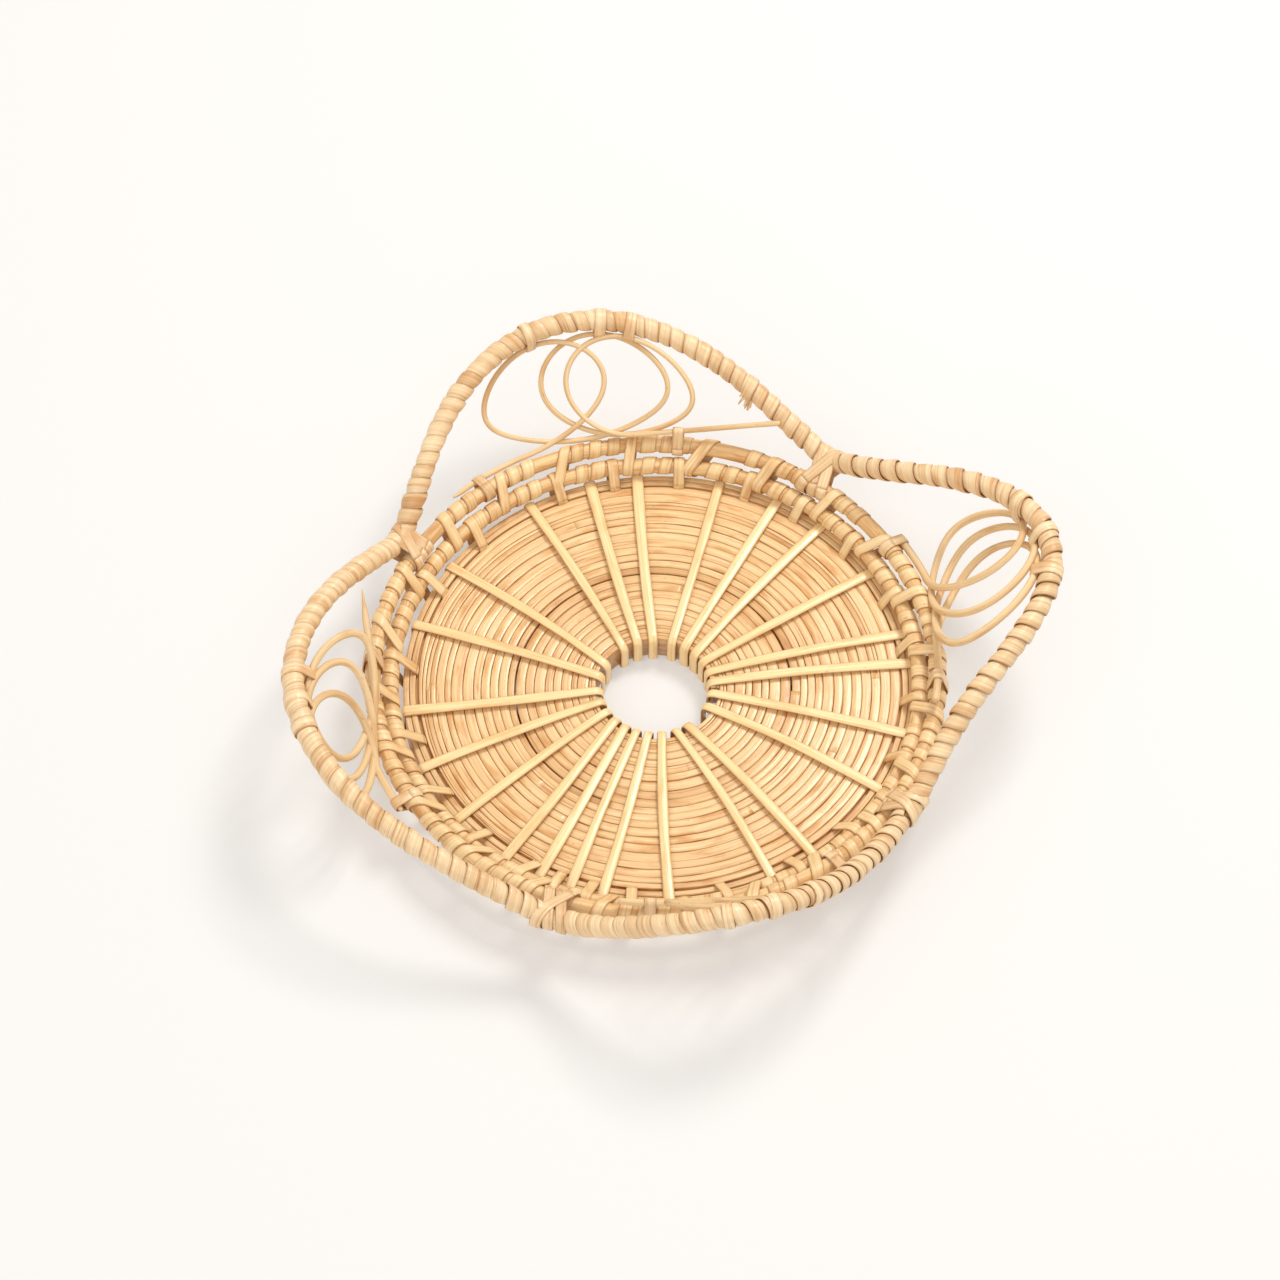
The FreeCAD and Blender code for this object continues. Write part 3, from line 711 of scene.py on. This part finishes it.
def make_ring_cores():
    rings = {"inner": INNER_RING, "outer": OUTER_RING}
    for seed, (which, (radius, height)) in enumerate(rings.items()):
        weave = Weave()
        degrees = np.linspace(0.0, 360.0, 361)
        angle = np.radians(degrees)
        fade = np.sin(angle / 2.0)
        wobble = 0.12 * wander(angle * radius, 40 + seed, 9.0) * fade
        path = polar(radius + wobble, degrees, height)
        thick = 1.0 + 0.04 * wander(degrees, 60 + seed, 20.0) * fade
        tones = np.clip(0.55 + 0.3 * wander(degrees, 70 + seed, 25.0), 0.0, 1.0)
        weave.strand(path, polar(1.0, degrees), round_section(CORE_RADIUS, 18), tones, scale=thick)
        weave.build(which + "_hoop_core", CORE, [which + "_ring_core"])


def turned_from(angle, other):
    return abs((angle - other + 180.0) % 360.0 - 180.0)


def nearest_free(angle, taken, clear):
    """The angle closest to the one wanted that stays clear of the turns already there."""
    for step in range(60):
        for side in (1, -1):
            trial = angle + side * step * 0.25
            if all(turned_from(trial, other) >= clear for other in taken):
                return trial
    return angle


def lashing_angles():
    """Midway between neighbouring binding canes, wherever there is room for a turn."""
    edges = sorted(edge % 360.0 for _, edge in CANE_ANGLES)
    needed = math.degrees(2.4 * CANE_WIDTH / EDGE_RADIUS)
    clear = math.degrees(1.1 * CANE_WIDTH / INNER_RING[0])
    taken = [BRIDGE_PHASE + BRIDGE_STEP * k / 2.0 for k in range(2 * BRIDGES)]
    found = []
    for here, following in zip(edges, edges[1:] + [edges[0] + 360.0]):
        if following - here >= needed:
            found.append(nearest_free((here + following) / 2.0, taken, clear))
    return found


def ring_turn(weave, ring, degrees, rng):
    """One turn of cane round a ring, slanting so that it meets itself underneath."""
    radius, height = ring
    slant = rng.uniform(1.4, 3.0)
    overlap = 0.04
    share = np.linspace(-overlap, 1.0 + overlap, 30)
    underneath = -100.0
    around = np.radians(underneath + 360.0 * share)
    along = degrees + np.degrees(slant * (share - 0.5) / radius)
    rest = CORE_RADIUS + 0.03
    outward = polar(np.cos(around), along, np.sin(around))
    path = polar(radius + rest * np.cos(around), along, height + rest * np.sin(around))
    section = flat_section(rng.uniform(3.0, 3.8), rng.uniform(0.28, 0.36), 0.3)
    weave.strand(path, outward, section, rng.uniform(0.3, 1.0), start=degrees * 3.0)


def turn_angles():
    """Evenly spaced places for turns of cane on a ring, apart from those of the bridges."""
    places = range(BRIDGES * TURNS_PER_BRIDGE)
    return [BRIDGE_PHASE + k * TURN_STEP for k in places if k % TURNS_PER_BRIDGE]


def make_ring_turns():
    rng = np.random.default_rng(31)
    lashings = lashing_angles()
    inner = Weave()
    for angle in turn_angles():
        if all(turned_from(angle, other) >= TURN_CLEAR for other in lashings):
            ring_turn(inner, INNER_RING, angle + rng.uniform(-0.3, 0.3), rng)
    inner.build("inner_hoop_turns", LASHING, ["inner_ring_turns"])
    outer = Weave()
    for angle in turn_angles():
        if rng.random() >= TURNS_MISSING:
            ring_turn(outer, OUTER_RING, angle + rng.uniform(-0.35, 0.35), rng)
    outer.build("outer_hoop_turns", LASHING, ["outer_ring_turns"])


def make_bridges():
    rng = np.random.default_rng(37)
    weave = Weave()
    run = belt_run([(*OUTER_RING, CORE_RADIUS + CANE_REST), (*INNER_RING, CORE_RADIUS + CANE_REST)])
    for order in range(BRIDGES):
        angle = BRIDGE_PHASE + order * BRIDGE_STEP + rng.uniform(-0.5, 0.5)
        section = flat_section(rng.uniform(2.7, 3.3), 0.5, 0.38)
        add_band(weave, run, np.zeros(3), polar(1.0, angle), UP, section, rng.uniform(0.5, 1.0),
                 slant=rng.uniform(0.25, 0.75), start=order * 31.0)
    weave.build("hoop_bridges", LASHING, ["ring_bridges"])


def make_lashings():
    """Bands from the inner ring down through the base's edge, inside the hoops."""
    rng = np.random.default_rng(41)
    weave = Weave()
    corner = 0.15
    top = TOP_OF_BASE + 0.1
    for order, angle in enumerate(lashing_angles()):
        inside = edge_reach(HOOP_RADIUS, angle) - 0.15
        run = belt_run([
            (inside + corner, top - corner, corner),
            (inside + corner, FLOOR_OF_BASE + corner, corner),
            (edge_reach(EDGE_RADIUS, angle) + 0.1, FLOOR_OF_BASE + corner, corner),
            (*INNER_RING, CORE_RADIUS + 0.1),
        ])
        section = flat_section(rng.uniform(2.5, 2.9), 0.45, 0.42)
        add_band(weave, run, np.zeros(3), polar(1.0, angle), UP, section, rng.uniform(0.5, 1.0),
                 slant=rng.uniform(-0.1, 0.25), start=order * 23.0)
    weave.build("edge_turns", LASHING, ["edge_lashings"])


# ---------------------------------------------------------------- rim

def lobe_span(name):
    first, second = LOBES[name][:2]
    start = KNOTS[first][0]
    return start, (KNOTS[second][0] - start) % -360.0


def lobe_point(name, share):
    """Points on the middle of the rim rod; share runs from 0 to 1 along the lobe."""
    first, second, tip_radius, tip_height, plan_power, height_power, lean = LOBES[name]
    start, sweep = lobe_span(name)
    share = np.asarray(share, float)
    swell = np.sin(math.pi * np.clip(share, 0.0, 1.0) ** lean).clip(0.0, 1.0)
    radius = KNOTS[first][1] * (1.0 - share) + KNOTS[second][1] * share
    radius = radius + (tip_radius - radius) * swell ** plan_power
    height = KNOT_HEIGHT + (tip_height - KNOT_HEIGHT) * swell ** height_power
    return polar(radius, start + sweep * share, height)


def lobe_path(name, trim):
    """The middle of the rod in even steps, stopping a little short of both knots."""
    path, along = resample(lobe_point(name, np.linspace(0.0, 1.0, 800)), RIM_STEP)
    keep = (along >= trim) & (along <= along[-1] - trim)
    return path[keep], along[keep] - along[keep][0]


def make_rim_rods():
    for order, name in enumerate(LOBES):
        weave = Weave()
        path = lobe_path(name, ROD_TRIM)[0][::4]
        _, normals = transported_normals(path, UP)
        section = round_section(RIM_ROD_RADIUS - 0.1, 16)
        weave.strand(path, normals, section, 0.5, start=order * 200.0)
        weave.build("rod_" + name, ROD, ["rim_rod_" + name])


def overlapping_section(widths, lift):
    """The binding's section for each station: one edge is lifted over the turn before it."""
    flat = flat_section(1.0, 1.0, 0.7)
    thickness = 0.66
    section = np.zeros((len(widths),) + flat.shape)
    section[:, :, 0] = flat[:, 0] * widths[:, None]
    section[:, :, 1] = flat[:, 1] * thickness + lift[:, None] * (flat[:, 0] + 0.5)
    return section


def make_rim_wraps():
    """Close binding: each turn lies with one edge over the turn before it."""
    for order, name in enumerate(LOBES):
        rng = np.random.default_rng(60 + order)
        path, along = lobe_path(name, WRAP_TRIM)
        tangents, normals = transported_normals(path, UP)
        binormals = np.cross(tangents, normals)
        first_width, first_pitch, last_width, last_pitch = WRAP_SIZES[name]
        pitch = first_pitch + (last_pitch - first_pitch) * (along / along[-1])
        pitch = pitch * (1.0 + 0.16 * wander(along, 80 + order, 4.0))
        turns = np.concatenate([[0.0], np.cumsum(np.diff(along) / pitch[1:])])
        stations = np.arange(0.0, turns[-1], 1.0 / WRAP_STATIONS)
        place = np.interp(stations, turns, along)

        def at_stations(rows):
            return np.stack([np.interp(place, along, rows[:, k]) for k in range(3)], axis=1)

        angle = (2.0 * math.pi * stations)[:, None]
        outward = unit(at_stations(normals)) * np.cos(angle)
        outward = outward + unit(at_stations(binormals)) * np.sin(angle)
        rest = RIM_ROD_RADIUS - 0.3 + 0.12 * wander(place, 90 + order, 2.5)
        spiral = at_stations(path) + outward * rest[:, None]
        widths = first_width + (last_width - first_width) * (place / along[-1])
        widths = widths * (1.0 + 0.1 * wander(place, 95 + order, 4.0))
        each_turn = np.arange(int(turns[-1]) + 3)
        paleness = 0.25 + 0.75 * rng.uniform(0.0, 1.0, len(each_turn)) ** 0.7
        looseness = rng.uniform(0.0, 1.0, len(each_turn))
        lift = 0.42 + 0.5 * np.interp(stations, each_turn, looseness)
        weave = Weave()
        weave.strand(spiral, outward, overlapping_section(widths, lift),
                     np.interp(stations, each_turn, paleness), start=order * 700.0)
        if name == FRAYED_LOBE:
            add_loose_fibres(weave, path, rng)
        weave.build("rim_binding_" + name, RIM, ["rim_wrap_" + name])


def add_loose_fibres(weave, path, rng):
    """A frayed end of cane: short thin fibres that stand out on the inner side of the rim."""
    here = int(FRAYED_AT * len(path))
    to_axis = path[here] * np.array([-1.0, -1.0, 0.0])
    inwards = unit(to_axis - (0.0, 0.0, 25.0))
    along = unit(path[here + 1] - path[here])
    for fibre in range(11):
        root = path[here + int(rng.uniform(-4, 4))]
        aim = inwards + along * rng.uniform(-0.7, 0.5) + (0.0, 0.0, rng.uniform(-0.5, 0.1))
        reach = np.linspace(0.0, rng.uniform(1.8, 3.2), 7)
        run = root + unit(aim) * (RIM_ROD_RADIUS - 0.2 + reach[:, None])
        run[:, 2] -= 0.05 * reach ** 2
        section = flat_section(rng.uniform(0.7, 1.6), 0.25)
        weave.strand(run, np.broadcast_to(UP, run.shape), section, rng.uniform(0.2, 1.0),
                     start=fibre * 11.0, scale=np.linspace(1.0, 0.3, 7))


def make_knots():
    """Crossed turns of cane that tie the rim down to the outer ring."""
    for order, (name, (angle, radius)) in enumerate(KNOTS.items()):
        rng = np.random.default_rng(110 + order)
        weave = Weave()
        across = polar(1.0, angle)
        along_rim = np.cross(across, UP)
        for offset, slant, proud in KNOT_BANDS:
            run = belt_run([
                (*OUTER_RING, RING_OVER_TURNS + proud),
                (radius, KNOT_HEIGHT + 0.2, RIM_OVER_WRAP + 0.15 + proud),
            ])
            section = flat_section(rng.uniform(2.7, 3.3), 0.42, 0.38)
            add_band(weave, run, along_rim * offset, across, UP, section, rng.uniform(0.3, 0.9),
                     slant=slant, start=order * 41.0)
        weave.build("knot_" + name, RIM, ["knot_lashing_" + name])


# ---------------------------------------------------------------- scrolls

def reed_radius(name):
    return SCROLLS[name][-1]


def reed_layer(name):
    """The step from one loop to the loop that lies over it."""
    return 2.0 * reed_radius(name) + REED_CLEARANCE


def loop_advance(name, turn):
    """How far along the ring from the middle of the scroll a loop has moved."""
    advance, bunch = SCROLLS[name][3:5]
    behind = turn - REED_LOOPS / 2.0
    return behind * advance + bunch * behind ** 2


def scroll_foot(name):
    """Where a reed lies against the outer ring: radius and height."""
    standoff = RING_OVER_TURNS + reed_radius(name)
    lean = math.radians(REED_FOOT_LEAN)
    return OUTER_RING[0] + standoff * math.cos(lean), OUTER_RING[1] + standoff * math.sin(lean)


def rim_above(name, along):
    """The step from the scroll's foot to the rim rod over it: outwards and upwards."""
    start, sweep = lobe_span(name)
    foot_radius, foot_height = scroll_foot(name)
    angle = SCROLLS[name][0] + np.degrees(np.asarray(along, float) / foot_radius)
    above = lobe_point(name, ((angle - start) % -360.0) / sweep)
    return np.hypot(above[..., 0], above[..., 1]) - foot_radius, above[..., 2] - foot_height


def scroll_place(name, along, lift, proud):
    """Points given along the ring, up the lobe's slope and out of the slope."""
    foot_radius, foot_height = scroll_foot(name)
    outward, upward = rim_above(name, 0.0)
    tilt = math.atan2(upward, outward)
    angle = SCROLLS[name][0] + np.degrees(along / foot_radius)
    out = lift * math.cos(tilt) + proud * math.sin(tilt)
    rise = lift * math.sin(tilt) - proud * math.cos(tilt)
    return polar(foot_radius + out, angle, foot_height + rise)


def scroll_loops(name, turn):
    """Points of the looping reed; each loop lies just over the one before it."""
    _, half_width, widening, advance, bunch, swing, _ = SCROLLS[name]
    angle = 2.0 * math.pi * turn - math.pi / 2.0
    behind = turn - REED_LOOPS / 2.0
    drift = advance + 2.0 * bunch * behind
    sideways = (half_width + widening * behind + drift / 4.0) * np.cos(angle)
    along = loop_advance(name, turn) + sideways
    reach = np.hypot(*rim_above(name, along)) - RIM_OVER_WRAP - reed_radius(name) - REED_CLEARANCE
    lift = reach * (1.0 + np.sin(angle)) / 2.0
    return scroll_place(name, along, lift, behind * reed_layer(name) + swing * sideways)


def scroll_end(name, side, away):
    """Points on one end of the reed, at distances along the ring past the loops."""
    middle = REED_LOOPS / 2.0
    length, climb = FIRST_ENDS[name]
    lift = (climb if side < 0 else 0.0) * (away / length) ** 2
    along = loop_advance(name, middle + side * middle) + side * away
    return scroll_place(name, along, lift, side * middle * reed_layer(name))


def scroll_path(name):
    """The whole reed: a run along the outer ring, the loops, and a run out again."""
    nearest = 1.0
    lead_in = scroll_end(name, -1, np.linspace(FIRST_ENDS[name][0], nearest, 30))
    loops = scroll_loops(name, np.linspace(0.0, REED_LOOPS, 110 * REED_LOOPS))
    lead_out = scroll_end(name, 1, np.linspace(nearest, LAST_ENDS[name], 24))
    path, _ = resample(np.concatenate([lead_in, loops, lead_out]), REED_STEP)
    return path


def make_scrolls():
    """Four looping reeds. Their last ends taper, and the left one starts from a point."""
    for order, name in enumerate(SCROLLS):
        weave = Weave()
        path = scroll_path(name)
        _, normals = transported_normals(path, UP)
        along = np.arange(len(path)) * REED_STEP
        thick = 0.97 + 0.06 * wander(along, 130 + order, 12.0)
        if name == POINTED_REED:
            thick = thick * np.clip(0.15 + along / 9.0, 0.0, 1.0)
        thick = thick * np.clip(0.4 + along[::-1] / 4.0, 0.0, 1.0)
        tones = np.clip(0.7 + 0.25 * wander(along, 140 + order, 18.0), 0.0, 1.0)
        reed = round_section(reed_radius(name), 14)
        weave.strand(path, normals, reed, tones, start=order * 400.0, scale=thick)
        weave.build("reed_" + name, REED, ["scroll_" + name])


def tie_to_rim(weave, name, turn, rng):
    """A turn of cane that holds the top of one loop against the bound rim."""
    top = scroll_loops(name, np.array([turn]))[0]
    rim = lobe_point(name, np.linspace(0.0, 1.0, 1200))
    nearest = int(np.argmin(np.linalg.norm(rim - top, axis=1)))
    centre = rim[nearest]
    tangent = unit(rim[nearest + 1] - rim[nearest - 1])
    across = top - centre
    across = across - tangent * across.dot(tangent)
    distance = float(np.linalg.norm(across))
    across = across / distance
    circles = [(0.0, 0.0, RIM_OVER_WRAP + 0.2), (distance, 0.0, reed_radius(name) * 1.1)]
    section = flat_section(rng.uniform(2.6, 3.3), 0.32, 0.34)
    add_band(weave, belt_run(circles), centre, across, np.cross(tangent, across), section,
             rng.uniform(0.6, 1.0), slant=rng.uniform(-0.15, 0.15), start=turn * 17.0)


def direction_of(point):
    return math.degrees(math.atan2(point[1], point[0]))


def tie_to_ring(weave, name, side, rng):
    """A turn of cane that holds the end of a reed against the outer ring."""
    wanted = direction_of(scroll_end(name, side, np.array(TIED_AT)))
    clear = math.degrees(1.2 * CANE_WIDTH / OUTER_RING[0])
    bridges = [BRIDGE_PHASE + BRIDGE_STEP * k for k in range(BRIDGES)]
    angle = nearest_free(wanted, bridges, clear)
    turned = turned_from(angle, direction_of(scroll_end(name, side, np.array(0.0))))
    reed = scroll_end(name, side, np.radians(turned) * scroll_foot(name)[0])
    run = belt_run([
        (*OUTER_RING, RING_OVER_TURNS),
        (math.hypot(reed[0], reed[1]), reed[2], reed_radius(name) + CANE_REST),
    ])
    section = flat_section(2.9, 0.38, 0.36)
    add_band(weave, run, np.zeros(3), polar(1.0, angle), UP, section, rng.uniform(0.4, 0.9), start=angle)


def make_scroll_ties():
    rng = np.random.default_rng(151)
    weave = Weave()
    for name in SCROLLS:
        for loop in range(REED_LOOPS):
            tie_to_rim(weave, name, loop + 0.5, rng)
        for side in (-1, 1):
            tie_to_ring(weave, name, side, rng)
    weave.build("reed_ties", RIM, ["scroll_ties"])


# ---------------------------------------------------------------- stage, light and camera

def make_floor():
    material = bpy.data.materials.new("table_top")
    material.use_nodes = True
    surface = material.node_tree.nodes["Principled BSDF"]
    surface.inputs["Base Color"].default_value = (0.50, 0.49, 0.478, 1.0)
    surface.inputs["Emission Color"].default_value = (1.0, 0.98, 0.955, 1.0)
    surface.inputs["Emission Strength"].default_value = 0.34
    surface.inputs["Roughness"].default_value = 0.9
    surface.inputs["Specular IOR Level"].default_value = 0.1
    reach = 4.0
    corners = [(-reach, -reach, 0), (reach, -reach, 0), (reach, reach, 0), (-reach, reach, 0)]
    mesh = bpy.data.meshes.new("table_top")
    mesh.from_pydata(corners, [], [(0, 1, 2, 3)])
    mesh.materials.append(material)
    floor = bpy.data.objects.new("table_top", mesh)
    bpy.context.scene.collection.objects.link(floor)
    floor.location.z = -0.2 * MM


def area_light(name, place, width, power, colour):
    """A square light that faces the middle of the basket."""
    light = bpy.data.lights.new(name, "AREA")
    light.shape = "SQUARE"
    light.size = width
    light.energy = power
    light.color = colour
    lamp = bpy.data.objects.new(name, light)
    lamp.location = place
    lamp.rotation_mode = "QUATERNION"
    lamp.rotation_quaternion = (LIGHTS_AIM - Vector(place)).to_track_quat("-Z", "Y")
    bpy.context.scene.collection.objects.link(lamp)


def make_light():
    world = bpy.data.worlds.new("studio")
    bpy.context.scene.world = world
    world.use_nodes = True
    background = world.node_tree.nodes["Background"]
    background.inputs["Color"].default_value = (1.0, 0.985, 0.965, 1.0)
    background.inputs["Strength"].default_value = 0.7
    area_light("key", (0.35, 0.5, 0.95), width=0.34, power=7.0, colour=(1.0, 0.985, 0.955))
    area_light("fill", (-0.35, -0.85, 0.95), width=1.2, power=6.0, colour=(1.0, 0.98, 0.95))
    bpy.context.scene.view_settings.view_transform = "Standard"


def make_camera():
    camera = bpy.data.cameras.new("camera")
    camera.lens = 135.0
    camera.sensor_width = 36.0
    holder = bpy.data.objects.new("camera", camera)
    holder.location = AXIS + CAMERA_FROM_AXIS * MM
    holder.rotation_euler = (math.radians(90.0 - CAMERA_DOWN), 0.0, 0.0)
    bpy.context.scene.collection.objects.link(holder)
    bpy.context.scene.camera = holder


make_base()
make_hoops()
make_binding_canes()
make_ring_cores()
make_ring_turns()
make_bridges()
make_lashings()
make_rim_rods()
make_rim_wraps()
make_knots()
make_scrolls()
make_scroll_ties()
make_floor()
make_light()
make_camera()
